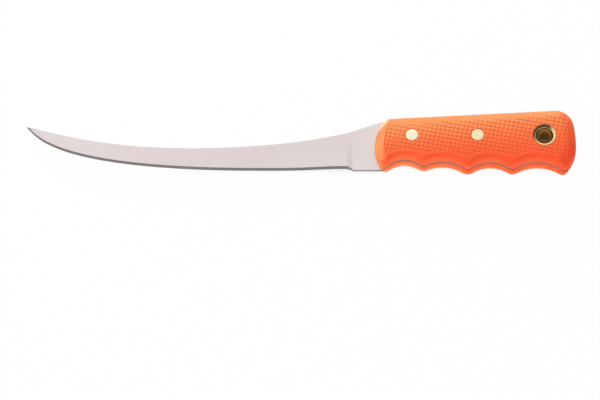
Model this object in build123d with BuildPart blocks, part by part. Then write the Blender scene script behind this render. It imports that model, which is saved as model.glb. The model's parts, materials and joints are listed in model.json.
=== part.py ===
from build123d import *
import os

# A full-tang fillet knife lying on its side, in millimetres.
# +X runs from the tip to the butt, +Y towards the spine, +Z up to the left side of the grip.
# The origin is under the middle of the knife, on the plane of the right scale's side face.
# Heights along Y are measured from the middle of the knife's width.

# Overall sizes
knife_length = 376.6
grip_length = 137.8
grip_thickness = 22.0
steel_thickness = 2.0

# Blade seen from its side
tip_height = 11.2
tip_bluntness = 0.4
heel_edge_height = -20.3
heel_spine_height = 6.4
plunge_spine_height = 7.7
plunge_length = 3.8
ricasso_length = 15.3
ricasso_edge_height = -21.5

# Blade seen from its end
spine_thickness_at_tip = 0.9
shoulder_thickness = 0.7
edge_thickness = 0.1
bevel_width = 2.2

# Grip seen from its side
grip_top_at_front = 15.5
grip_top_at_butt = 22.45
front_arc_radius = 34.0
front_arc_height = -5.1
front_top_corner_radius = 12.0
front_low_corner_radius = 1.5
butt_top_corner_radius = 13.4
upper_butt_radius = 88.0
lower_butt_radius = 25.8
butt_peak_height = -4.6
butt_low_corner_radius = 3.4

# Finger grooves: the radius of each, the height of its floor and the rounding of the cusps between them
index_groove_radius = 17.6
middle_groove_radius = 25.1
ring_groove_radius = 21.4
little_groove_radius = 27.4
index_groove_floor = -13.8
middle_groove_floor = -15.2
ring_groove_floor = -15.7
little_groove_floor = -15.7
cusp_radius = 3.4
tang_cusp_recess = 1.2

# Rounding of the scales
rim_radius = 3.0
top_wall_height = 1.2
underside_height = -21.6
underside_radius = 6.5
front_wall_height = 3.5
front_bevel_run = 6.8
front_bevel_bulge = 1.4
front_bevel_sweep = 170.0

# Cutler's rivets, each a hollow socket half and a solid pin half
rivet_line_height = 0.6
front_rivet_setback = 25.2
rear_rivet_setback = 70.2
rivet_head_radius = 4.33
rivet_head_thickness = 1.6
socket_radius = 2.8
pin_radius = 1.8
rivet_end_gap = 0.6

# Flared lanyard tube
tube_setback = 116.0
tube_bore_radius = 5.45
tube_wall = 0.9
tube_flare_radius = 2.35

# Fits
fit_clearance = 0.05
overrun = 1.0

# Places along the knife and through its thickness
tip_x = -knife_length / 2
butt_x = knife_length / 2
front_x = butt_x - grip_length
plunge_x = front_x - ricasso_length
heel_x = plunge_x - plunge_length
half_thickness = grip_thickness / 2
middle_z = half_thickness
steel_top_z = middle_z + steel_thickness / 2
steel_bottom_z = middle_z - steel_thickness / 2
scale_thickness = half_thickness - steel_thickness / 2
crown_radius = scale_thickness - top_wall_height
middle_plane = Plane.XY.offset(middle_z)
rivet_places = (front_x + front_rivet_setback, front_x + rear_rivet_setback)
tube_x = front_x + tube_setback


def sagitta(radius, offset):
    """How far an arc falls back from its peak at an offset along its tangent."""
    return radius - (radius**2 - offset**2) ** 0.5


def front_arc_point(height):
    """A point of the grip's curved front edge."""
    return (front_x + sagitta(front_arc_radius, height - front_arc_height), height)


# Corners of the grip before its grooves are cut; it reaches down to a share of the lower butt's radius
blank_depth_share = 0.95
blank_depth = blank_depth_share * lower_butt_radius
top_front = front_arc_point(grip_top_at_front)
top_butt = (butt_x - sagitta(upper_butt_radius, grip_top_at_butt - butt_peak_height), grip_top_at_butt)
butt_peak = (butt_x, butt_peak_height)
low_butt = (butt_x - sagitta(lower_butt_radius, blank_depth), butt_peak_height - blank_depth)
low_front = front_arc_point(low_butt[1])
top_slope = (top_butt[1] - top_front[1]) / (top_butt[0] - top_front[0])

# Finger grooves, front to back; their places are shares of the grip's length
groove_place_shares = (0.147, 0.335, 0.573, 0.807)
groove_places = [front_x + share * grip_length for share in groove_place_shares]
groove_floors = (index_groove_floor, middle_groove_floor, ring_groove_floor, little_groove_floor)
groove_radii = (index_groove_radius, middle_groove_radius, ring_groove_radius, little_groove_radius)


def draw_butt(low_end):
    """The butt's two arcs, from its upper corner to its peak and on down to a low end."""
    TangentArc(butt_peak, top_butt, tangent=(0, 1))
    TangentArc(butt_peak, low_end, tangent=(0, -1))


def cut_grooves():
    """Takes the four finger grooves out of the sketch being drawn."""
    for place, floor, radius in zip(groove_places, groove_floors, groove_radii):
        with Locations((place, floor - radius)):
            Circle(radius, mode=Mode.SUBTRACT)


def low_corners(sketch, start_x, end_x, count):
    """The lowest corners of a sketch between two places along the knife."""
    return sketch.vertices().filter_by_position(Axis.X, start_x, end_x).sort_by(Axis.Y)[:count]


def grip_outline(extra_radius):
    """The grip seen from its side; the extra radius rounds its low corners further, for the tang."""
    with BuildSketch(mode=Mode.PRIVATE) as outline:
        with BuildLine():
            ThreePointArc(low_front, (front_x, front_arc_height), top_front)
            Line(top_front, top_butt)
            draw_butt(low_butt)
            Line(low_butt, low_front)
        make_face()
        fillet(outline.vertices().sort_by(Axis.Y)[-1], butt_top_corner_radius)
        fillet(outline.vertices().sort_by_distance(top_front)[0], front_top_corner_radius)
        cut_grooves()
        cusps = low_corners(outline, groove_places[0], groove_places[-1], len(groove_places) - 1)
        fillet(cusps, cusp_radius + extra_radius)
        fillet(low_corners(outline, groove_places[-1], butt_x, 1), butt_low_corner_radius + extra_radius)
        fillet(low_corners(outline, front_x, groove_places[0], 1), front_low_corner_radius + extra_radius)
    return outline.sketch


# Steel: blade, ricasso and full tang in one piece

# Pull points of the blade's two curves, as shares of its length from the tip and of its height
edge_pull_shares = ((0.031, -0.221), (0.062, -0.767), (0.341, -1.194))
spine_pull_shares = ((0.16, -0.254), (0.352, -0.85), (0.856, -0.455))
# Places of the blade's sections, as shares of the length from the tip to the heel
section_shares = (0.0, 0.015, 0.04, 0.08, 0.14, 0.22, 0.33, 0.46, 0.6, 0.74, 0.87, 1.0)

point_x = tip_x - tip_bluntness
blade_length = heel_x - point_x
blade_drop = tip_height - heel_edge_height


def blade_curve(pull_shares, heel_height):
    """A curve from the blade's point to its heel."""
    pulls = [
        (point_x + along * blade_length, tip_height + down * blade_drop) for along, down in pull_shares
    ]
    return Bezier((point_x, tip_height), *pulls, (heel_x, heel_height))


def height_at(curve, place):
    """Height of a blade curve at a place along the knife, found by halving."""
    low, high = 0, 1
    for _ in range(40):
        middle = (low + high) / 2
        if (curve @ middle).X < place:
            low = middle
        else:
            high = middle
    return (curve @ low).Y


def blade_section(edge_height, spine_height, spine_thickness, shoulder, edge):
    """Corners of a section across the blade: flat sides down to the shoulder, then the bevel."""
    height = spine_height - edge_height
    shoulder_height = edge_height + bevel_width * height / (height + bevel_width)
    upper_side = [
        (spine_height, middle_z + spine_thickness / 2),
        (shoulder_height, middle_z + shoulder / 2),
        (edge_height, middle_z + edge / 2),
    ]
    return upper_side + [(y, grip_thickness - z) for y, z in reversed(upper_side)]


heel_section = blade_section(
    heel_edge_height, heel_spine_height, steel_thickness, shoulder_thickness, edge_thickness
)
plunge_section = blade_section(
    ricasso_edge_height, plunge_spine_height, steel_thickness, steel_thickness, steel_thickness
)

with BuildLine() as edge_line:
    blade_curve(edge_pull_shares, heel_edge_height)
with BuildLine() as spine_line:
    blade_curve(spine_pull_shares, heel_spine_height)

with BuildPart() as blade:
    for share in section_shares:
        place = tip_x + share * (heel_x - tip_x)
        edge_height = height_at(edge_line.edge(), place)
        spine_height = height_at(spine_line.edge(), place)
        spine_thickness = spine_thickness_at_tip + share * (steel_thickness - spine_thickness_at_tip)
        with BuildSketch(Plane.YZ.offset(place)):
            with BuildLine():
                corners = blade_section(
                    edge_height, spine_height, spine_thickness, shoulder_thickness, edge_thickness
                )
                Polyline(*corners, close=True)
            make_face()
    loft()

    # The plunge, where the ground blade rises to the full stock of the ricasso
    for place, corners in ((heel_x, heel_section), (plunge_x, plunge_section)):
        with BuildSketch(Plane.YZ.offset(place)):
            with BuildLine():
                Polyline(*corners, close=True)
            make_face()
    loft(ruled=True)

    # Ricasso and tang; the tang stays flush in the grooves and stands back at the cusps
    top_over_groove = top_front[1] + top_slope * (groove_places[0] - top_front[0])
    with BuildSketch(Plane.XY.offset(steel_bottom_z)) as tang:
        with BuildLine():
            Polyline(
                (plunge_x, ricasso_edge_height),
                (groove_places[0], ricasso_edge_height),
                (groove_places[0], top_over_groove),
                top_front,
                (plunge_x, plunge_spine_height),
                close=True,
            )
        make_face()
        add(grip_outline(tang_cusp_recess))
        cut_grooves()
    extrude(amount=steel_thickness)

    # Holes for the rivets and the lanyard tube
    with Locations(*[(place, rivet_line_height, steel_top_z) for place in rivet_places]):
        Hole(socket_radius + fit_clearance)
    with Locations((tube_x, rivet_line_height, steel_top_z)):
        Hole(tube_bore_radius + tube_wall + fit_clearance)


# Grip scales, moulded as a mirrored pair

def grip_crown():
    """A block whose walls follow the top and the butt, with their wide rounding on its upper face."""
    step_back = grip_length / 2
    far_front = (top_front[0] - step_back, top_front[1] - top_slope * step_back)
    low_end = (butt_x - lower_butt_radius, butt_peak_height - lower_butt_radius)
    with BuildPart(mode=Mode.PRIVATE) as crown:
        with BuildSketch(Plane.XY.offset(steel_top_z)) as crown_outline:
            with BuildLine():
                Line(far_front, top_butt)
                draw_butt(low_end)
                Polyline(low_end, (far_front[0], low_end[1]), far_front)
            make_face()
            fillet(crown_outline.vertices().sort_by(Axis.Y)[-1], butt_top_corner_radius)
        extrude(amount=scale_thickness)
        upper_rim = crown.faces().sort_by(Axis.Z)[-1].edges()
        fillet(upper_rim.filter_by_position(Axis.Y, butt_peak_height, grip_top_at_butt), crown_radius)
    return crown.part


def groove_rims():
    """The rings that are cut away to round the rim of a scale along its grooves."""
    rim_start = half_thickness - rim_radius
    above = half_thickness + overrun
    with BuildPart(mode=Mode.PRIVATE) as rims:
        for place, floor, radius in zip(groove_places, groove_floors, groove_radii):
            groove_plane = Plane(origin=(place, floor - radius, middle_z), x_dir=(1, 0, 0), z_dir=(0, -1, 0))
            with BuildSketch(groove_plane):
                with BuildLine():
                    Polyline(
                        (radius, rim_start),
                        (radius - overrun, rim_start),
                        (radius - overrun, above),
                        (radius + rim_radius, above),
                        (radius + rim_radius, half_thickness),
                    )
                    RadiusArc((radius, rim_start), (radius + rim_radius, half_thickness), rim_radius)
                make_face()
            revolve(axis=Axis(groove_plane.origin, (0, 0, 1)))
    return rims.part


def front_bevel_ring():
    """The ring that is cut away to bevel a scale along its curved front edge."""
    start = Vector(-1, 0, 0).rotate(Axis.Z, -front_bevel_sweep / 2)
    ring_plane = Plane(
        origin=(front_x + front_arc_radius, front_arc_height, middle_z),
        x_dir=start,
        z_dir=start.rotate(Axis.Z, -90),
    )
    crease = (front_arc_radius - front_bevel_run, half_thickness)
    wall_top = (front_arc_radius, front_wall_height)
    outer_radius = front_arc_radius + overrun
    above = half_thickness + overrun
    with BuildPart(mode=Mode.PRIVATE) as ring:
        with BuildSketch(ring_plane):
            with BuildLine():
                SagittaArc(crease, wall_top, front_bevel_bulge)
                Polyline(
                    wall_top, (outer_radius, wall_top[1]), (outer_radius, above), (crease[0], above), crease
                )
            make_face()
        revolve(axis=Axis(ring_plane.origin, (0, 0, 1)), revolution_arc=front_bevel_sweep)
    return ring.part


# The tube's own plane: across from its axis, and up from the middle of the knife
tube_plane = Plane(origin=(tube_x, rivet_line_height, middle_z), x_dir=(1, 0, 0), z_dir=(0, -1, 0))
tube_axis = Axis(tube_plane.origin, (0, 0, 1))
flare_centre = (tube_bore_radius + tube_flare_radius, half_thickness - tube_flare_radius)


def tube_seat():
    """The room that the tube and its flared lip take up in a scale."""
    hole_radius = tube_bore_radius + tube_wall + fit_clearance
    lip_radius = flare_centre[0] + fit_clearance
    curl_radius = flare_centre[0] - hole_radius
    with BuildPart(mode=Mode.PRIVATE) as seat:
        with BuildSketch(tube_plane):
            with BuildLine():
                Polyline((0, 0), (hole_radius, 0), (hole_radius, flare_centre[1]))
                CenterArc(flare_centre, curl_radius, 180, -90)
                Polyline(
                    (flare_centre[0], flare_centre[1] + curl_radius),
                    (lip_radius, flare_centre[1] + curl_radius),
                    (lip_radius, half_thickness + overrun),
                    (0, half_thickness + overrun),
                    (0, 0),
                )
            make_face()
        revolve(axis=tube_axis)
    return seat.part


with BuildPart() as left_scale:
    with BuildSketch(Plane.XY.offset(steel_top_z)):
        add(grip_outline(0))
    extrude(amount=scale_thickness)
    add(front_bevel_ring(), mode=Mode.SUBTRACT)
    add(groove_rims(), mode=Mode.SUBTRACT)
    add(grip_crown(), mode=Mode.INTERSECT)

    # Wider rounding along the underside, which takes the corners off the ridges between the grooves
    with BuildSketch(Plane.YZ.offset(front_x)):
        with BuildLine():
            rounding = RadiusArc(
                (underside_height, grip_thickness - underside_radius),
                (underside_height + underside_radius, grip_thickness),
                underside_radius,
            )
            Polyline(
                rounding @ 1,
                (underside_height + underside_radius, grip_thickness + overrun),
                (underside_height - overrun, grip_thickness + overrun),
                (underside_height - overrun, grip_thickness - underside_radius),
                rounding @ 0,
            )
        make_face()
    extrude(amount=grip_length, mode=Mode.SUBTRACT)

    # Seats for the rivets and the tube
    with Locations(*[(place, rivet_line_height, grip_thickness) for place in rivet_places]):
        CounterBoreHole(
            socket_radius + fit_clearance, rivet_head_radius + fit_clearance, rivet_head_thickness
        )
    add(tube_seat(), mode=Mode.SUBTRACT)

with BuildPart() as right_scale:
    add(mirror(left_scale.part, about=middle_plane, mode=Mode.PRIVATE))


# Rivets: the socket's head is flush in the left scale, the pin's head in the right one

def rivet_halves(place):
    """The socket and the pin of one rivet."""
    seat_z = grip_thickness - rivet_head_thickness
    with BuildPart(mode=Mode.PRIVATE) as socket:
        with BuildSketch(Plane.XY.offset(seat_z)):
            with Locations((place, rivet_line_height)):
                Circle(rivet_head_radius)
        extrude(amount=rivet_head_thickness)
        with BuildSketch(Plane.XY.offset(seat_z)):
            with Locations((place, rivet_line_height)):
                Circle(socket_radius)
                Circle(pin_radius + fit_clearance, mode=Mode.SUBTRACT)
        extrude(amount=rivet_head_thickness + rivet_end_gap - seat_z)
    with BuildPart(mode=Mode.PRIVATE) as pin:
        with BuildSketch():
            with Locations((place, rivet_line_height)):
                Circle(rivet_head_radius)
        extrude(amount=rivet_head_thickness)
        with BuildSketch():
            with Locations((place, rivet_line_height)):
                Circle(pin_radius)
        extrude(amount=seat_z - rivet_end_gap)
    return socket.part, pin.part


front_rivet_socket, front_rivet_pin = rivet_halves(rivet_places[0])
rear_rivet_socket, rear_rivet_pin = rivet_halves(rivet_places[1])


# Lanyard tube with a lip curled over at each end

with BuildPart() as lanyard_tube:
    with BuildSketch(tube_plane) as wall_section:
        with BuildLine():
            Line((tube_bore_radius, 0), (tube_bore_radius, flare_centre[1]))
            CenterArc(flare_centre, tube_flare_radius, 180, -90)
            Polyline(
                (flare_centre[0], half_thickness),
                (flare_centre[0], half_thickness - tube_wall),
            )
            CenterArc(flare_centre, tube_flare_radius - tube_wall, 90, 90)
            Polyline(
                (tube_bore_radius + tube_wall, flare_centre[1]),
                (tube_bore_radius + tube_wall, 0),
                (tube_bore_radius, 0),
            )
        make_face()
    revolve(axis=tube_axis)
    mirror(about=middle_plane)


# Export, one file per piece

pieces = {
    "blade": blade.part,
    "left_scale": left_scale.part,
    "right_scale": right_scale.part,
    "front_rivet_socket": front_rivet_socket,
    "front_rivet_pin": front_rivet_pin,
    "rear_rivet_socket": rear_rivet_socket,
    "rear_rivet_pin": rear_rivet_pin,
    "lanyard_tube": lanyard_tube.part,
}
os.makedirs("parts", exist_ok=True)
for name, piece in pieces.items():
    piece.label = name
    export_step(piece, f"parts/{name}.step")
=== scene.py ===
import json
import math

import bmesh
import bpy
import numpy as np
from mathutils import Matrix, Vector


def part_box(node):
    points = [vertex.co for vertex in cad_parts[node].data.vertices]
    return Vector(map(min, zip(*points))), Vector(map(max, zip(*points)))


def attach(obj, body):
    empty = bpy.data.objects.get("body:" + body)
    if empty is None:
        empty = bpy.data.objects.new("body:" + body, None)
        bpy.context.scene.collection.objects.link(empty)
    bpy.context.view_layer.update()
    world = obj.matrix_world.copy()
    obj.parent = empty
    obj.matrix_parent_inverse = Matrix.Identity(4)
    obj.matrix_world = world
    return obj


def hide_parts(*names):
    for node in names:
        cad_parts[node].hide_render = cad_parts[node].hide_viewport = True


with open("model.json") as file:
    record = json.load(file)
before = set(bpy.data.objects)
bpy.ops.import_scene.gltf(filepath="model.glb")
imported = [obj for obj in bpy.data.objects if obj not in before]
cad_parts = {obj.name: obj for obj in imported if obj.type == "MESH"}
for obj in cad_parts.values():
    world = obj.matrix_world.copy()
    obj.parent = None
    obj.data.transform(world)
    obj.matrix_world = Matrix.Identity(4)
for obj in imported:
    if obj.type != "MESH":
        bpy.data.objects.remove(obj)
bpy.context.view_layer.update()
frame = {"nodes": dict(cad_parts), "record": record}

# A fillet knife on its side: steel blade and tang, checkered rubber scales, two cutler's rivets and
# a flared brass lanyard tube. +X runs from tip to butt, +Y to the spine, +Z up to the left side.

MM = 0.001

# Places taken from the frame
left_low, left_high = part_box("left_scale")
tube_low, tube_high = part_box("lanyard_tube")
front_rivet_low, front_rivet_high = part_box("front_rivet_socket")
rear_rivet_low, rear_rivet_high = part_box("rear_rivet_socket")
front_x, butt_x = left_low.x, left_high.x
grip_length = butt_x - front_x
face_z = left_high.z
middle_z = face_z / 2
half_thickness = face_z - middle_z
steel_half = left_low.z - middle_z
hardware_y = (tube_low.y + tube_high.y) / 2
tube_x = (tube_low.x + tube_high.x) / 2
tube_lip_radius = (tube_high.x - tube_low.x) / 2
bore_radius = MM * frame["record"]["mounts"][0]["dims"]["r_mm"]
front_rivet_x = (front_rivet_low.x + front_rivet_high.x) / 2
rear_rivet_x = (rear_rivet_low.x + rear_rivet_high.x) / 2
rivet_radius = (front_rivet_high.x - front_rivet_low.x) / 2

# Outline of the grip, as in the solid
top_at_front_y = 15.5 * MM
top_at_butt_y = 22.45 * MM
front_arc_radius = 34.0 * MM
front_arc_y = -5.1 * MM
front_top_radius = 12.0 * MM
front_low_radius = 1.5 * MM
butt_top_radius = 13.4 * MM
butt_upper_radius = 88.0 * MM
butt_lower_radius = 25.8 * MM
butt_peak_y = -4.6 * MM
butt_low_radius = 3.4 * MM
cusp_radius = 3.4 * MM
groove_shares = (0.147, 0.335, 0.573, 0.807)
groove_radii = (17.6 * MM, 25.1 * MM, 21.4 * MM, 27.4 * MM)
groove_floors = (-13.8 * MM, -15.2 * MM, -15.7 * MM, -15.7 * MM)

# Rounding of the grip, blunter at its corners and cusps than in the solid
rim_radius = 3.0 * MM
top_wall = 1.2 * MM
crown_radius = half_thickness - steel_half - top_wall
front_top_blunting = 4.0 * MM
cusp_blunting = 5.5 * MM
front_low_blunting = 4.8 * MM
butt_low_blunting = 1.6 * MM
ridge_fall = 4.2 * MM
front_ridge_fall = 9.2 * MM
ridge_fall_power = 1.15
ridge_blend = 0.02 * MM
rounding_power = 2.5

# Bevel at the grip's front
bevel_run = 6.0 * MM
bevel_foot = 3.5 * MM
bevel_bulge = 1.4 * MM

# Checkering: its pitch, turn and depth, and its panel's margins
check_column_pitch = 2.98 * MM
check_row_pitch = 2.9 * MM
check_column_turn = math.radians(13.3)
check_row_turn = math.radians(10.4)
check_depth = 0.38 * MM
check_column_share = 0.67
check_slot_share = 0.62
check_phase_shares = (-0.1, -0.27)
panel_low_margin = 0.6 * MM
panel_top_margin = 1.0 * MM
panel_butt_margin = 6.0 * MM
panel_fade = 0.5 * MM

# Rivet halves and tube
hole_gap = 0.2 * MM
head_thickness = 1.6 * MM
head_edge = 0.35 * MM
head_crown = 0.06 * MM
shank_radius = 2.8 * MM
shank_end = 10.5 * MM
tube_wall = 0.9 * MM
lip_turn = 118
lip_edge = 0.12 * MM

# Mesh fineness
grid_step = 0.3 * MM
grid_rows = int(40 * MM / grid_step)
front_curve_reach = 21 * MM
butt_curve_reach = 20 * MM
outline_limit = 30 * MM
halvings = 40
snap_share = 0.6
weld_distance = 0.001 * MM
lathe_steps = 96
head_edge_steps = 6
flare_steps = 16
flare_back_steps = 10

# Guards against dividing by nothing
least_length = 1e-9
least_spread = 1e-6


# ---- Walls of the outline: each is the distance inside it and its gradient, in rows d, x, y ----

def groove_wall(x, y, centre, radius):
    """The wall of a finger groove."""
    away = np.hypot(x - centre[0], y - centre[1])
    return np.array([away - radius, (x - centre[0]) / away, (y - centre[1]) / away])


def end_arc(x, y, centre, radius, end):
    """The curved wall at one end of the grip (-1 front, 1 butt); past its centre it runs on level."""
    reach = np.maximum(end * (x - centre[0]), 0)
    rise = y - centre[1]
    away = np.maximum(np.hypot(reach, rise), least_length)
    return np.array([radius - away, -end * reach / away, -rise / away])


def meet(a, b, radius):
    """Two walls joined, with their corner rounded to a radius."""
    cosine = a[1] * b[1] + a[2] * b[2]
    spread = np.maximum(1 - cosine**2, least_spread)
    p, q = a[0] - radius, b[0] - radius
    share_a, share_b = (q * cosine - p) / spread, (p * cosine - q) / spread
    reach = np.sqrt(np.maximum(p * p + q * q - 2 * p * q * cosine, least_length**2) / spread)
    corner = np.array([
        radius - reach,
        (share_a * a[1] + share_b * b[1]) / reach,
        (share_a * a[2] + share_b * b[2]) / reach,
    ])
    return np.where((share_a > 0) & (share_b > 0), corner, np.where(a[0] < b[0], a, b))


def sagitta(radius, offset):
    """How far an arc falls back from its peak at an offset along its tangent."""
    return radius - np.sqrt(radius**2 - offset**2)


top_front = (front_x + sagitta(front_arc_radius, top_at_front_y - front_arc_y), top_at_front_y)
top_butt = (butt_x - sagitta(butt_upper_radius, top_at_butt_y - butt_peak_y), top_at_butt_y)
top_run = Vector((top_butt[0] - top_front[0], top_butt[1] - top_front[1])).normalized()
groove_centres = [
    (front_x + share * grip_length, floor - radius)
    for share, floor, radius in zip(groove_shares, groove_floors, groove_radii)
]
index_groove_x = groove_centres[0][0]
front_part_x = front_x + grip_length / 3


def low_edges(x, ends, grooves, front_radius, middle_radius, butt_radius):
    """Distances in from the grooves alone and from the whole outline, with ridges of given radii."""
    underside = grooves[0]
    for groove in grooves[1:]:
        underside = meet(underside, groove, middle_radius)
    low_radius = np.where(x < index_groove_x, front_radius, butt_radius)
    return underside[0], meet(ends, underside, low_radius)[0]


def grip_walls(x, y):
    """Distances in from the outline, a blunter one, the front, the top and butt, each groove and the
    underside."""
    top = np.array([
        (x - top_front[0]) * top_run.y - (y - top_front[1]) * top_run.x,
        np.full_like(x, top_run.y),
        np.full_like(x, -top_run.x),
    ])
    upper = end_arc(x, y, (butt_x - butt_upper_radius, butt_peak_y), butt_upper_radius, 1)
    lower = end_arc(x, y, (butt_x - butt_lower_radius, butt_peak_y), butt_lower_radius, 1)
    butt = np.where(y > butt_peak_y, upper, lower)
    crown = meet(top, butt, butt_top_radius)
    front = end_arc(x, y, (front_x + front_arc_radius, front_arc_y), front_arc_radius, -1)
    grooves = [groove_wall(x, y, c, r) for c, r in zip(groove_centres, groove_radii)]
    ends, blunt_ends = (
        np.where(x > front_part_x, crown, meet(front, crown, front_top_radius + extra_radius))
        for extra_radius in (0, front_top_blunting)
    )
    underside, outline = low_edges(x, ends, grooves, front_low_radius, cusp_radius, butt_low_radius)
    blunt = low_edges(
        x, blunt_ends, grooves, front_low_radius + front_low_blunting, cusp_radius + cusp_blunting,
        butt_low_radius + butt_low_blunting,
    )[1]
    return outline, blunt, front[0], crown[0], [g[0] for g in grooves], underside


# ---- Height of the grip's sides ----

def quarter_drop(distance, radius):
    """How far a quarter round has fallen at a distance in from its wall."""
    short = np.clip(radius - distance, 0, radius)
    return radius - np.sqrt(np.maximum(radius**2 - short**2, 0))


def ridge_drop(x, outline, blunt):
    """How far a ridge's tip has fallen between the outline and a blunter one inside it."""
    share = np.clip((outline + ridge_blend) / (np.maximum(outline - blunt, 0) + ridge_blend), 0, 1)
    fall = np.where(x < index_groove_x, front_ridge_fall, ridge_fall)
    return fall * (1 - share) ** ridge_fall_power


def bevel_drop(front):
    """How far the bevel has fallen below the face at a distance in from the front edge."""
    chord = Vector((bevel_run, bevel_foot - half_thickness))
    half = chord.length / 2
    radius = (half**2 + bevel_bulge**2) / (2 * bevel_bulge)
    out = Vector((-chord.y, chord.x)).normalized()
    centre = chord / 2 - out * (radius - bevel_bulge)
    along = np.clip(bevel_run - front, 0, bevel_run)
    return np.maximum(-(centre.y + np.sqrt(np.maximum(radius**2 - (along - centre.x) ** 2, 0))), 0)


def checkering(x, y, front, crown, underside):
    """Depth of the slots between the checks, from 0 on a check to 1 in a slot."""
    along = (x * math.cos(check_column_turn) - y * math.sin(check_column_turn)) / check_column_pitch
    across = (x * math.sin(check_row_turn) + y * math.cos(check_row_turn)) / check_row_pitch
    slots = []
    for place, phase in zip((along, across), check_phase_shares):
        from_check = np.abs((place + phase) % 1 - 0.5) * 2
        slots.append(np.clip((check_slot_share - 1 + from_check) / check_slot_share, 0, 1))
    depth = np.maximum(check_column_share * slots[0], slots[1])
    border = np.minimum(underside - rim_radius - panel_low_margin, front - bevel_run)
    border = np.minimum(border, crown - panel_top_margin)
    border = np.minimum(border, butt_x - panel_butt_margin - x)
    return depth * np.clip(border / panel_fade, 0, 1)


def surface_height(x, y):
    """Height of the grip's side above the knife's middle plane, with its checkering."""
    outline, blunt, front, crown, grooves, underside = grip_walls(x, y)
    drops = [np.hypot(quarter_drop(crown, crown_radius), bevel_drop(front)), ridge_drop(x, outline, blunt)]
    drops += [quarter_drop(groove, rim_radius) for groove in grooves]
    drop = np.sum(np.array(drops) ** rounding_power, axis=0) ** (1 / rounding_power)
    return half_thickness - drop - check_depth * checkering(x, y, front, crown, underside)


# ---- Meshes ----

def new_piece(name, bm, material, replaced):
    """A smooth visible piece that takes the place of solids of the frame."""
    mesh = bpy.data.meshes.new(name)
    bmesh.ops.recalc_face_normals(bm, faces=bm.faces)
    bm.to_mesh(mesh)
    bm.free()
    piece = bpy.data.objects.new(name, mesh)
    bpy.context.scene.collection.objects.link(piece)
    mesh.materials.append(material)
    mesh.shade_smooth()
    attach(piece, "root")
    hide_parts(*replaced)


def column_places():
    """Places of the mesh's columns, closer together where the ends of the outline curve round."""
    front = front_x + sagitta(front_arc_radius, np.arange(0, front_curve_reach, grid_step))
    offsets = np.arange(0, butt_curve_reach, grid_step)
    butt = (butt_x - offsets**2 / (2 * butt_lower_radius))[::-1]
    count = int((butt[0] - front[-1]) / grid_step)
    return np.concatenate([front, np.linspace(front[-1], butt[0], count)[1:-1], butt])


def outline_height(columns, reference, limit):
    """Where each column leaves the outline, between a height inside it and one outside, by halving."""
    inner, outer = reference.copy(), np.full_like(columns, limit)
    for _ in range(halvings):
        middle = (inner + outer) / 2
        inside = grip_walls(columns, middle)[0] > 0
        inner, outer = np.where(inside, middle, inner), np.where(inside, outer, middle)
    return (inner + outer) / 2


def snap_to_holes(x, y, holes):
    """Moves the grid's points that are nearest to each hole's edge onto it."""
    for centre, radius in holes:
        dx, dy = x - centre, y - hardware_y
        away = np.hypot(dx, dy)
        near = np.abs(away - radius) < snap_share * grid_step
        scale = np.where(near, radius / np.maximum(away, least_length), 1)
        x, y = centre + dx * scale, hardware_y + dy * scale
    return x, y


def scale_mesh(side):
    """One grip scale: a height field over its outline, walls down to the tang and a flat inner face."""
    columns = column_places()
    share = np.linspace(0, 1, grid_rows)
    reference = np.interp(columns, [front_x, butt_x], [front_arc_y, butt_peak_y])
    low = outline_height(columns, reference, -outline_limit)
    high = outline_height(columns, reference, outline_limit)
    x = np.repeat(columns[:, None], grid_rows, axis=1)
    y = low[:, None] + (high - low)[:, None] * share[None, :]
    holes = [
        (front_rivet_x, rivet_radius + hole_gap),
        (rear_rivet_x, rivet_radius + hole_gap),
        (tube_x, tube_lip_radius + hole_gap),
    ]
    x, y = snap_to_holes(x, y, holes)
    z = middle_z + side * surface_height(x.ravel(), y.ravel()).reshape(x.shape)
    bm = bmesh.new()
    points = [
        [bm.verts.new((x[i, j], y[i, j], z[i, j])) for j in range(grid_rows)]
        for i in range(len(columns))
    ]
    for i in range(len(columns) - 1):
        for j in range(grid_rows - 1):
            corners = (points[i][j], points[i + 1][j], points[i + 1][j + 1], points[i][j + 1])
            middle_x = sum(v.co.x for v in corners) / 4
            middle_y = sum(v.co.y for v in corners) / 4
            if all(math.hypot(middle_x - c, middle_y - hardware_y) > r for c, r in holes):
                bm.faces.new(corners)
    bmesh.ops.remove_doubles(bm, verts=bm.verts, dist=weld_distance)
    loose = [v for v in bm.verts if not v.link_faces]
    bmesh.ops.delete(bm, geom=loose, context="VERTS")
    rim = [e for e in bm.edges if e.is_boundary]
    wall = bmesh.ops.extrude_edge_only(bm, edges=rim)["geom"]
    for vertex in [g for g in wall if isinstance(g, bmesh.types.BMVert)]:
        vertex.co.z = middle_z + side * steel_half
    foot = [e for e in bm.edges if e.is_boundary]
    bmesh.ops.triangle_fill(bm, use_beauty=True, edges=foot)
    return bm


def lathe(profile, centre_x, centre_y):
    """A closed profile of radius and height turned about an upright axis."""
    bm = bmesh.new()
    turns = [2 * math.pi * k / lathe_steps for k in range(lathe_steps)]
    rings = [
        [
            bm.verts.new((centre_x + radius * math.cos(turn), centre_y + radius * math.sin(turn), height))
            for turn in (turns if radius else turns[:1])
        ]
        for radius, height in profile
    ]
    closed = profile[0][0] != 0
    pairs = list(zip(rings, rings[1:])) + ([(rings[-1], rings[0])] if closed else [])
    for a, b in pairs:
        for k in range(lathe_steps):
            n = (k + 1) % lathe_steps
            corners = [a[k % len(a)], a[n % len(a)], b[n % len(b)], b[k % len(b)]]
            bm.faces.new(list(dict.fromkeys(corners)))
    return bm


def arc_points(centre, radius, start, end, count):
    """Points along an arc between two angles in degrees."""
    angles = [math.radians(start + (end - start) * k / count) for k in range(count + 1)]
    return [(centre[0] + radius * math.cos(a), centre[1] + radius * math.sin(a)) for a in angles]


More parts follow.
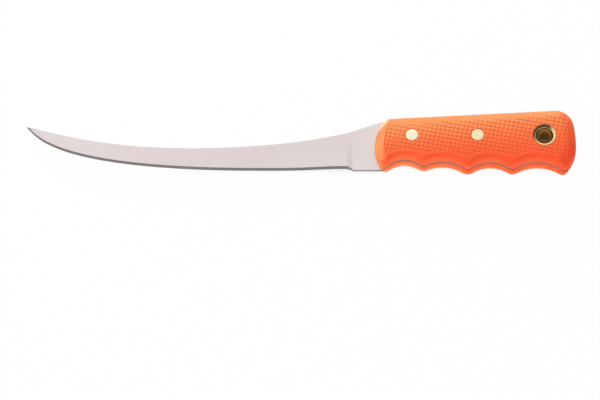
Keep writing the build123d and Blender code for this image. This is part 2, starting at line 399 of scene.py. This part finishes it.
def rivet_profile(side):
    """A rivet half: a head with a low crown and softened edge, and its shank."""
    def level(depth):
        return middle_z + side * (half_thickness - depth)

    edge = arc_points((rivet_radius - head_edge, 0), head_edge, 90, 0, head_edge_steps)
    profile = [(0, level(0)), ((rivet_radius - head_edge) / 2, level(head_crown / 4))]
    profile += [(r, level(head_crown + head_edge - h)) for r, h in edge]
    profile += [(rivet_radius, level(head_thickness)), (shank_radius, level(head_thickness))]
    return profile + [(shank_radius, level(shank_end)), (0, level(shank_end))]


def tube_profile():
    """The tube's wall: its bore flares out to a lip that slopes straight to the edge. The points near
    the edge keep its smooth shading narrow."""
    flare_radius = tube_lip_radius - bore_radius
    flare_centre = (tube_lip_radius, face_z - flare_radius / math.sin(math.radians(lip_turn)))
    slope = -1 / math.tan(math.radians(lip_turn))
    upper = arc_points(flare_centre, flare_radius, 180, lip_turn, flare_steps)
    upper += [(tube_lip_radius - at, face_z - slope * at) for at in (2 * lip_edge, lip_edge, lip_edge / 4)]
    upper += [(tube_lip_radius, face_z - lip_edge / 2), (tube_lip_radius, face_z - 2 * lip_edge)]
    outer = arc_points(flare_centre, flare_radius - tube_wall, 90, 180, flare_back_steps)
    mirrored = [[(r, 2 * middle_z - h) for r, h in reversed(half)] for half in (outer, upper)]
    return upper + outer + mirrored[0] + mirrored[1]


# ---- Shader nodes ----

def add_node(tree, kind, inputs=None, **settings):
    """A shader node, with each input set to a value or linked to another node's output."""
    node = tree.nodes.new("ShaderNode" + kind)
    for name, value in settings.items():
        setattr(node, name, value)
    for key, value in (inputs or {}).items():
        if isinstance(value, bpy.types.NodeSocket):
            tree.links.new(value, node.inputs[key])
        else:
            node.inputs[key].default_value = value
    return node


def maths(tree, operation, *values):
    return add_node(tree, "Math", dict(enumerate(values)), operation=operation).outputs[0]


def dot(tree, source, direction):
    inputs = {0: source, 1: direction}
    return add_node(tree, "VectorMath", inputs, operation="DOT_PRODUCT").outputs["Value"]


def axes(tree, source):
    return add_node(tree, "SeparateXYZ", {"Vector": source}).outputs


def span(tree, source, start, end, low=0, high=1):
    """A source mapped from one range to another, and held within it."""
    inputs = {"Value": source, "From Min": start, "From Max": end, "To Min": low, "To Max": high}
    return add_node(tree, "MapRange", inputs).outputs["Result"]


def mix(tree, factor, a, b, blend_type="MIX"):
    inputs = {"Factor": factor, "A": a, "B": b}
    return add_node(tree, "Mix", inputs, data_type="RGBA", blend_type=blend_type).outputs["Result"]


def ramp(tree, source, stops):
    node = add_node(tree, "ValToRGB", {"Fac": source})
    for _ in stops[2:]:
        node.color_ramp.elements.new(1)
    for element, (place, colour) in zip(node.color_ramp.elements, stops):
        element.position = place
        element.color = (*colour, 1)
    return node.outputs["Color"]


def object_place(tree):
    return add_node(tree, "TexCoord").outputs["Object"]


def noise(tree, scale, detail, stretch=(1, 1, 1)):
    """A noise in the object's own space, stretched along its axes."""
    mapping = add_node(tree, "Mapping", {"Vector": object_place(tree), "Scale": stretch})
    inputs = {"Vector": mapping.outputs["Vector"], "Scale": scale, "Detail": detail}
    return add_node(tree, "TexNoise", inputs).outputs["Fac"]


def mottle(tree, source, dark, light):
    """A colour that wanders between two with a noise."""
    return ramp(tree, source, [(0.3, dark), (0.7, light)])


def bump(tree, shader, source, strength, distance):
    node = add_node(tree, "Bump", {"Height": source, "Strength": strength, "Distance": distance})
    tree.links.new(node.outputs["Normal"], shader.inputs["Normal"])


def new_material(name):
    material = bpy.data.materials.new(name)
    material.use_nodes = True
    return material, material.node_tree, material.node_tree.nodes["Principled BSDF"]


# ---- Materials ----

# The rubber's colour follows a sum of its place, its blotches and how far it faces some sides; all but the
# blotches is painted light and shade
painted_light_direction = (-1.2, 12.5, -20.0)
blotch_share = 0.08
painted_light_facings = (
    # side, share, power
    # painted light where it faces the front, the top and up, toward the lamps
    ((-0.8, 0.3, 0.5), 0.24, 2),
    # painted bounce light from the floor, where it faces the edge side and down
    ((0, -0.75, -0.66), 0.1, 2),
    # a painted highlight where it faces the front, the top and up at once, at the front bevel's upper corner
    ((-0.58, 0.58, 0.57), 0.4, 5),
    # painted light where it faces straight up, as on the checks' tops
    ((0, 0, 1), 0.1, 8),
)
# Painted light on the front bevel's low tip
painted_bevel_light_share = 0.17
painted_bevel_light_reach = (front_x + 8.5 * MM, front_x + 5.0 * MM)
painted_bevel_light_fall = (-8 * MM, -17 * MM)
painted_light_range = (-0.75, 0.27)
# Colours of the painted light and shade, from red in shade to a painted cream highlight
painted_light_stops = [
    (0.049, (1.0, 0.095, 0.032)),
    (0.294, (1.0, 0.155, 0.05)),
    (0.412, (1.0, 0.21, 0.074)),
    (0.549, (1.0, 0.355, 0.13)),
    (0.833, (1.0, 0.255, 0.1)),
    (1.0, (1.0, 0.62, 0.36)),
]


def rubber_material():
    """Orange rubber with painted light and shade: painted red low down and on its roundings, lighter orange
    at the top, and a painted cream highlight at the front bevel's upper corner.
    """
    material, tree, shader = new_material("orange_rubber")
    place = object_place(tree)
    normal = add_node(tree, "NewGeometry").outputs["Normal"]
    # Painted light by place: lighter toward the front, the top and lower in Z
    total = dot(tree, place, painted_light_direction)
    total = maths(tree, "MULTIPLY_ADD", noise(tree, 60, 3), blotch_share, total)
    for side, share, power in painted_light_facings:
        towards = maths(tree, "MAXIMUM", dot(tree, normal, side), 0)
        total = maths(tree, "MULTIPLY_ADD", maths(tree, "POWER", towards, power), share, total)
    # Painted light: the front bevel, which faces the light, is painted orange rather than red down to its
    # low tip
    place_axes = axes(tree, place)
    near_front = span(tree, place_axes["X"], *painted_bevel_light_reach)
    near_tip = span(tree, place_axes["Y"], *painted_bevel_light_fall)
    painted_bevel_light = maths(tree, "MULTIPLY", near_front, near_tip)
    total = maths(tree, "MULTIPLY_ADD", painted_bevel_light, painted_bevel_light_share, total)
    colour = ramp(tree, span(tree, total, *painted_light_range), painted_light_stops)
    tree.links.new(colour, shader.inputs["Base Color"])
    shader.inputs["Roughness"].default_value = 0.62
    shader.inputs["IOR"].default_value = 1.18
    bump(tree, shader, noise(tree, 2600, 2), strength=0.25, distance=0.06 * MM)
    return material


# The steel's parts are told apart by how level they are (the Z of their normal), by how far they
# lean along the blade rather than across it, and by whether they lie between the scales
ground_level = 0.997
narrow_level = 0.6
plunge_lean_step = (0.029, 0.031)
plunge_lean_blend = (0.0, 0.16)
tang_start_x = front_x + 2 * MM
# Painted light: the tang's narrow edge between the scales is painted with orange light from the rubber
tang_painted_rubber_glow = (0.28, 0.125, 0.065, 1)


def steel_material():
    """Satin steel with painted shade: a ground edge painted dark for the darker reflection in it, a plunge
    painted between the two that evens out its brighter reflection, and narrow edges painted dark as shade,
    with painted orange light from the rubber where they lie between the scales.
    """
    material, tree, shader = new_material("satin_steel")
    shader.inputs["Metallic"].default_value = 0.62
    lines = noise(tree, 5200, 2, stretch=(1.0, 0.03, 0.03))
    cloud = noise(tree, 18, 2)
    face = mottle(tree, cloud, (0.80, 0.71, 0.70), (0.84, 0.755, 0.745))
    # Painted shade: the plunge is painted darker than the face, which evens out its brighter reflection
    plunge = mottle(tree, cloud, (0.62, 0.56, 0.55), (0.66, 0.59, 0.58))
    # Painted shade: the ground edge is painted dark, standing in for the darker reflection in it
    ground = mottle(tree, lines, (0.23, 0.205, 0.205), (0.30, 0.27, 0.27))
    # Painted shade: the narrow edges of the steel are painted dark
    narrow = mottle(tree, cloud, (0.15, 0.13, 0.13), (0.21, 0.18, 0.18))
    # Painted light: between the scales the narrow edge takes the rubber's painted orange light
    in_grip = maths(tree, "GREATER_THAN", axes(tree, object_place(tree))["X"], tang_start_x)
    narrow = mix(tree, in_grip, narrow, tang_painted_rubber_glow)
    normal = add_node(tree, "NewGeometry")
    true_axes = axes(tree, normal.outputs["True Normal"])
    smooth_axes = axes(tree, normal.outputs["Normal"])
    level = maths(tree, "ABSOLUTE", true_axes["Z"])

    def leaning_along(normal_axes, flat, steep):
        leans = [maths(tree, "ABSOLUTE", normal_axes[axis]) for axis in ("X", "Y")]
        return span(tree, maths(tree, "SUBTRACT", *leans), flat, steep)

    colour = face
    for factor, other in (
        (maths(tree, "LESS_THAN", level, ground_level), ground),
        (leaning_along(true_axes, *plunge_lean_step), face),
        (leaning_along(smooth_axes, *plunge_lean_blend), plunge),
        (maths(tree, "LESS_THAN", level, narrow_level), narrow),
    ):
        colour = mix(tree, factor, colour, other)
    tree.links.new(colour, shader.inputs["Base Color"])
    rough = mottle(tree, lines, (0.3, 0.3, 0.3), (0.42, 0.42, 0.42))
    tree.links.new(rough, shader.inputs["Roughness"])
    bump(tree, shader, lines, strength=0.12, distance=0.02 * MM)
    return material


# Painted shade: brass is painted dark between the knife's two faces, in the tube's bore and on the hidden
# shanks
inner_painted_shade_stops = [
    (0.1, (1, 1, 1)),
    (0.13, (0.12, 0.08, 0.04)),
    (0.5, (0.12, 0.08, 0.04)),
    (0.72, (0.6, 0.45, 0.22)),
    (0.87, (1, 1, 1)),
]


def brass_material(name, dark, light, metallic, roughness, stretch, scale, strength):
    """Brass with fine marks, in painted shade inside the knife."""
    material, tree, shader = new_material(name)
    marks = noise(tree, scale, 3, stretch=stretch)
    height = span(tree, axes(tree, object_place(tree))["Z"], 0, face_z)
    inner_painted_shade = ramp(tree, height, inner_painted_shade_stops)
    colour = mix(tree, 1, mottle(tree, marks, dark, light), inner_painted_shade, blend_type="MULTIPLY")
    tree.links.new(colour, shader.inputs["Base Color"])
    shader.inputs["Metallic"].default_value = metallic
    shader.inputs["Roughness"].default_value = roughness
    bump(tree, shader, marks, strength=strength, distance=0.03 * MM)
    return material


rivet_finish = {"metallic": 0.65, "roughness": 0.3, "stretch": (1, 0.05, 1), "scale": 4000, "strength": 0.15}
tube_finish = {"metallic": 1, "roughness": 0.13, "stretch": (1, 1, 0.02), "scale": 2600, "strength": 0.2}

rubber = rubber_material()
steel = steel_material()
rivet_metals = {
    "front": brass_material("front_rivet_brass", (1.0, 0.90, 0.63), (1.0, 0.97, 0.74), **rivet_finish),
    "rear": brass_material("rear_rivet_brass", (1.0, 0.79, 0.47), (1.0, 0.87, 0.565), **rivet_finish),
}
tube_metal = brass_material("tube_brass", (0.84, 0.57, 0.26), (0.96, 0.71, 0.38), **tube_finish)

# ---- The knife's pieces ----

frame["nodes"]["blade"].data.materials.clear()
frame["nodes"]["blade"].data.materials.append(steel)

new_piece("left_grip_scale", scale_mesh(1), rubber, ["left_scale"])
new_piece("right_grip_scale", scale_mesh(-1), rubber, ["right_scale"])
for place, rivet_x in (("front", front_rivet_x), ("rear", rear_rivet_x)):
    for side, half, node in ((1, "left", "socket"), (-1, "right", "pin")):
        bm = lathe(rivet_profile(side), rivet_x, hardware_y)
        new_piece(f"{place}_rivet_{half}_half", bm, rivet_metals[place], [f"{place}_rivet_{node}"])
bm = lathe(tube_profile(), tube_x, hardware_y)
new_piece("flared_lanyard_tube", bm, tube_metal, ["lanyard_tube"])

# ---- Studio ----

# Brightness of the world by direction: what lights the knife, and what metal shows
light_direction = (-0.35, 0.8, 0.48)
light_stops = [(0.0, 0.13), (0.5, 0.42), (0.75, 0.9), (1.0, 1.15)]
shown_direction = (-0.5, 0.75, 0.45)
shown_stops = [(0.64, 0.08), (0.72, 0.45), (0.81, 1.0)]
horizon_range = (0.35, 0.15)

# The floor's own glow; where it is shut in, as under the tube's bore, it is painted dark brown as shade,
# with a painted brown glow that shows mostly in metal
floor_size = 3
floor_gap = 0.2 * MM
open_distance = 0.06
open_range = (0.1, 0.35)
shut_in_painted_shade_and_glow = (0.42, 0.25, 0.09)
floor_glow_share = 0.97
shut_in_painted_glow_share = 0.7
shut_in_painted_seen_share = 0.15


def seen_ray(tree):
    """1 for rays that show the background: the camera's, and those that metal and glass send on."""
    rays = add_node(tree, "LightPath").outputs
    either = maths(tree, "MAXIMUM", rays["Is Camera Ray"], rays["Is Glossy Ray"])
    return maths(tree, "MAXIMUM", either, rays["Is Transmission Ray"])


def floor():
    """A plain pale floor that shows white and keeps the knife's shadow, painted dark brown where it is shut
    in.
    """
    bm = bmesh.new()
    bmesh.ops.create_grid(bm, x_segments=1, y_segments=1, size=floor_size)
    mesh = bpy.data.meshes.new("floor")
    bm.to_mesh(mesh)
    bm.free()
    plane = bpy.data.objects.new("floor", mesh)
    bpy.context.scene.collection.objects.link(plane)
    plane.location.z = -floor_gap
    material, tree, shader = new_material("floor_paper")
    pale = mottle(tree, noise(tree, 300, 2), (0.86, 0.86, 0.86), (0.9, 0.9, 0.9))
    openness = add_node(tree, "AmbientOcclusion", {"Distance": open_distance}).outputs["AO"]
    # Painted shade and glow: shut-in places are painted dark brown
    painted_shade_and_glow = ramp(tree, openness, [(open_range[0], shut_in_painted_shade_and_glow), (open_range[1], (1, 1, 1))])
    tree.links.new(mix(tree, 1, pale, painted_shade_and_glow, blend_type="MULTIPLY"), shader.inputs["Base Color"])
    shader.inputs["Roughness"].default_value = 0.9
    reflected = add_node(tree, "LightPath").outputs["Is Glossy Ray"]
    shut_in = maths(tree, "MULTIPLY_ADD", reflected, shut_in_painted_glow_share, shut_in_painted_seen_share)
    lit = span(tree, openness, *open_range, low=shut_in, high=floor_glow_share)
    blend = add_node(tree, "MixShader", {
        "Fac": maths(tree, "MULTIPLY", seen_ray(tree), lit),
        1: shader.outputs["BSDF"],
        2: add_node(tree, "Emission", {"Color": painted_shade_and_glow}).outputs["Emission"],
    })
    tree.links.new(blend.outputs["Shader"], tree.nodes["Material Output"].inputs["Surface"])
    mesh.materials.append(material)


def studio_world():
    """A studio that is white round the horizon and behind, and dark overhead, in front and to the right."""
    world = bpy.data.worlds.new("studio")
    world.use_nodes = True
    bpy.context.scene.world = world
    tree = world.node_tree
    place = add_node(tree, "TexCoord").outputs["Generated"]

    def shade(direction, stops):
        facing = dot(tree, place, Vector(direction).normalized())
        return ramp(tree, span(tree, facing, -1, 1), [(at, (level,) * 3) for at, level in stops])

    horizon = span(tree, axes(tree, place)["Z"], *horizon_range)
    backdrop = maths(tree, "MAXIMUM", shade(shown_direction, shown_stops), horizon)
    sky = mix(tree, seen_ray(tree), shade(light_direction, light_stops), backdrop)
    tree.links.new(sky, tree.nodes["Background"].inputs["Color"])


def area_light(name, place, target, width, height, power):
    """A rectangular lamp that lights the knife and isn't mirrored in it."""
    data = bpy.data.lights.new(name, "AREA")
    data.shape = "RECTANGLE"
    data.size = width
    data.size_y = height
    data.energy = power
    lamp = bpy.data.objects.new(name, data)
    bpy.context.scene.collection.objects.link(lamp)
    lamp.location = place
    lamp.rotation_euler = (Vector(target) - Vector(place)).to_track_quat("-Z", "Y").to_euler()
    lamp.visible_glossy = False


floor()
studio_world()
area_light("key", (-0.5, 1.1, 0.9), (0.05, 0, 0), width=0.7, height=0.7, power=8)
area_light("kicker", (-1.2, 1.2, 0.3), (0.08, 0, 0), width=0.6, height=0.6, power=2.5)
area_light("fill", (0.1, -1.3, 0.07), (0.05, 0, 0.01), width=1.2, height=0.12, power=11)

# ---- Camera: 65 degrees above the cutting edge's side, with a long lens ----

photo_width = 411.6 * MM
photo_elevation = math.radians(65)
camera_distance = 6.0
camera_reach = 20
sensor_width = 36
aim_drop = 39.63 * MM
aim_shift = -0.96 * MM

camera_data = bpy.data.cameras.new("camera")
camera_data.sensor_width = sensor_width
camera_data.lens = sensor_width * camera_distance / photo_width
camera_data.clip_end = camera_reach
camera = bpy.data.objects.new("camera", camera_data)
bpy.context.scene.collection.objects.link(camera)
up = Vector((0, math.sin(photo_elevation), math.cos(photo_elevation)))
back = Vector((0, -math.cos(photo_elevation), math.sin(photo_elevation)))
aim = Vector((aim_shift, 0, middle_z)) - up * aim_drop
camera.location = aim + back * camera_distance
camera.rotation_euler = (-back).to_track_quat("-Z", "Y").to_euler()
bpy.context.scene.camera = camera
bpy.context.scene.view_settings.view_transform = "Standard"
